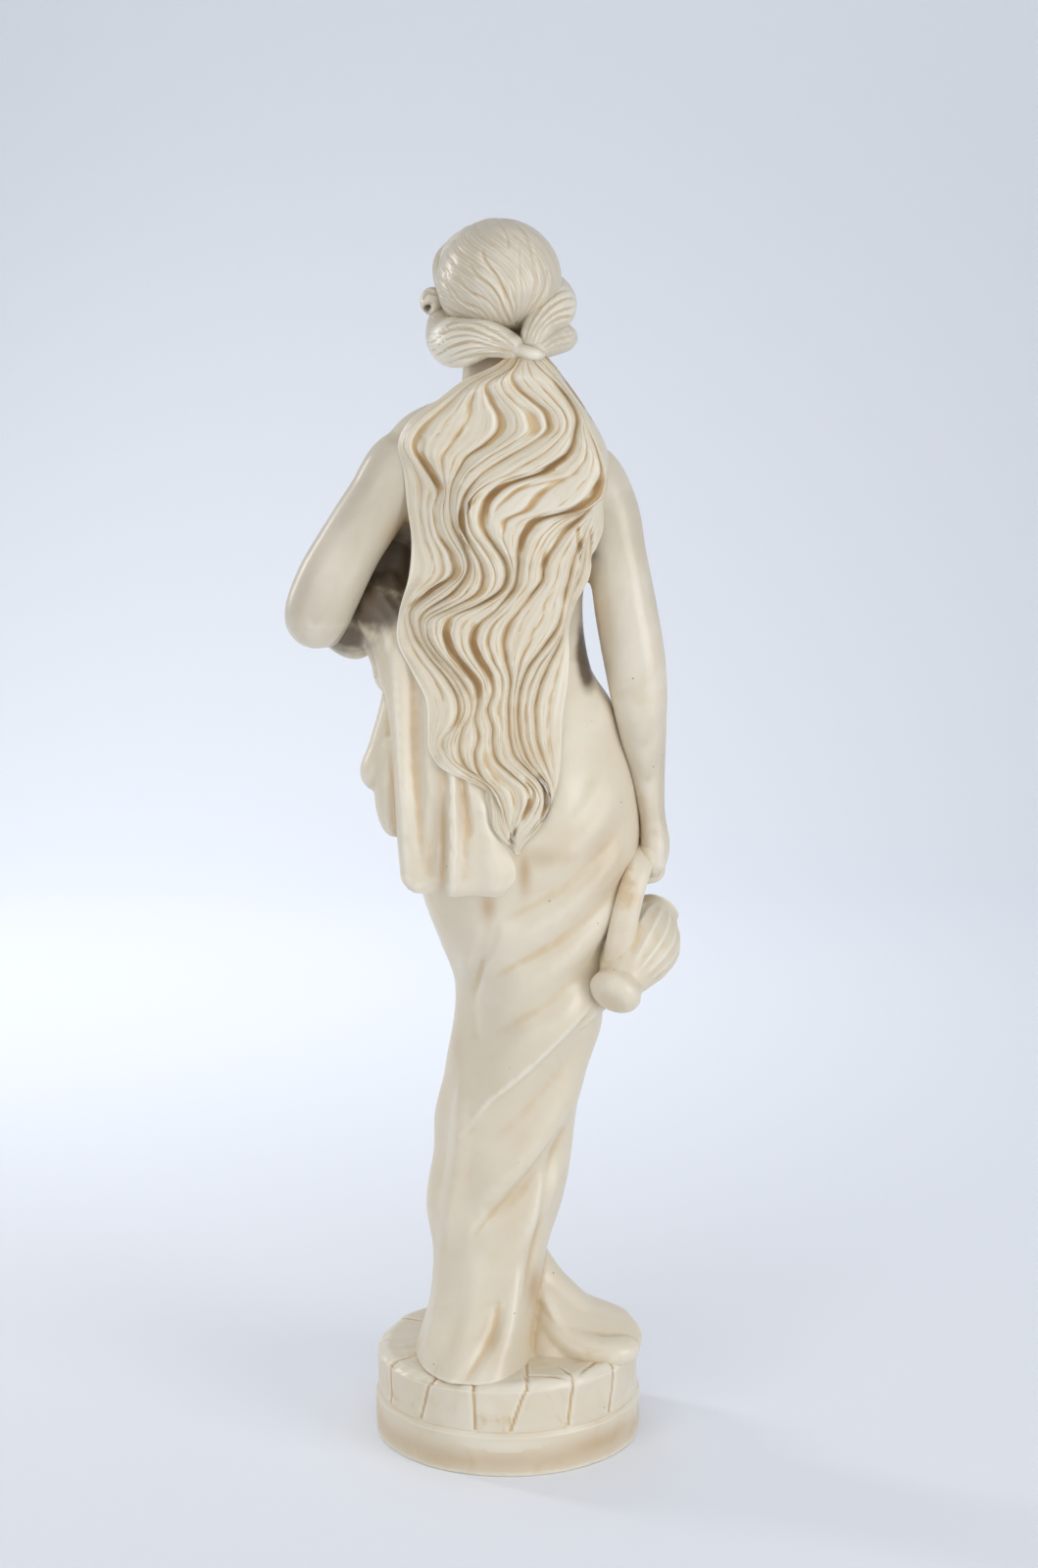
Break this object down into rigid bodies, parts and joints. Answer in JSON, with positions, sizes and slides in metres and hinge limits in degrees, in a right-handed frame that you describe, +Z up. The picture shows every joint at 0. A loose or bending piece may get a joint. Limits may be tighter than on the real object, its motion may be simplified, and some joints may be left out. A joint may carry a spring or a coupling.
{
  "type": "resin statuette",
  "caption": "Cast resin statuette of a draped woman with long wavy hair, one hand holding a small jug, on a round rock plinth.",
  "frame": {"origin": "centre of the plinth's flat underside", "axes": "+Z up along the figure, which faces -Y with her left side at +X"},
  "size_m": [0.2507, 0.176, 0.7996],
  "materials": {
    "cast_resin": "cream marble-filled cast resin with a soft sheen, an ochre wash in its hollows and brown dirt in the deepest gaps"
  },
  "bodies": {
    "root": {"statuette": "cast_resin"}
  },
  "joints": []
}
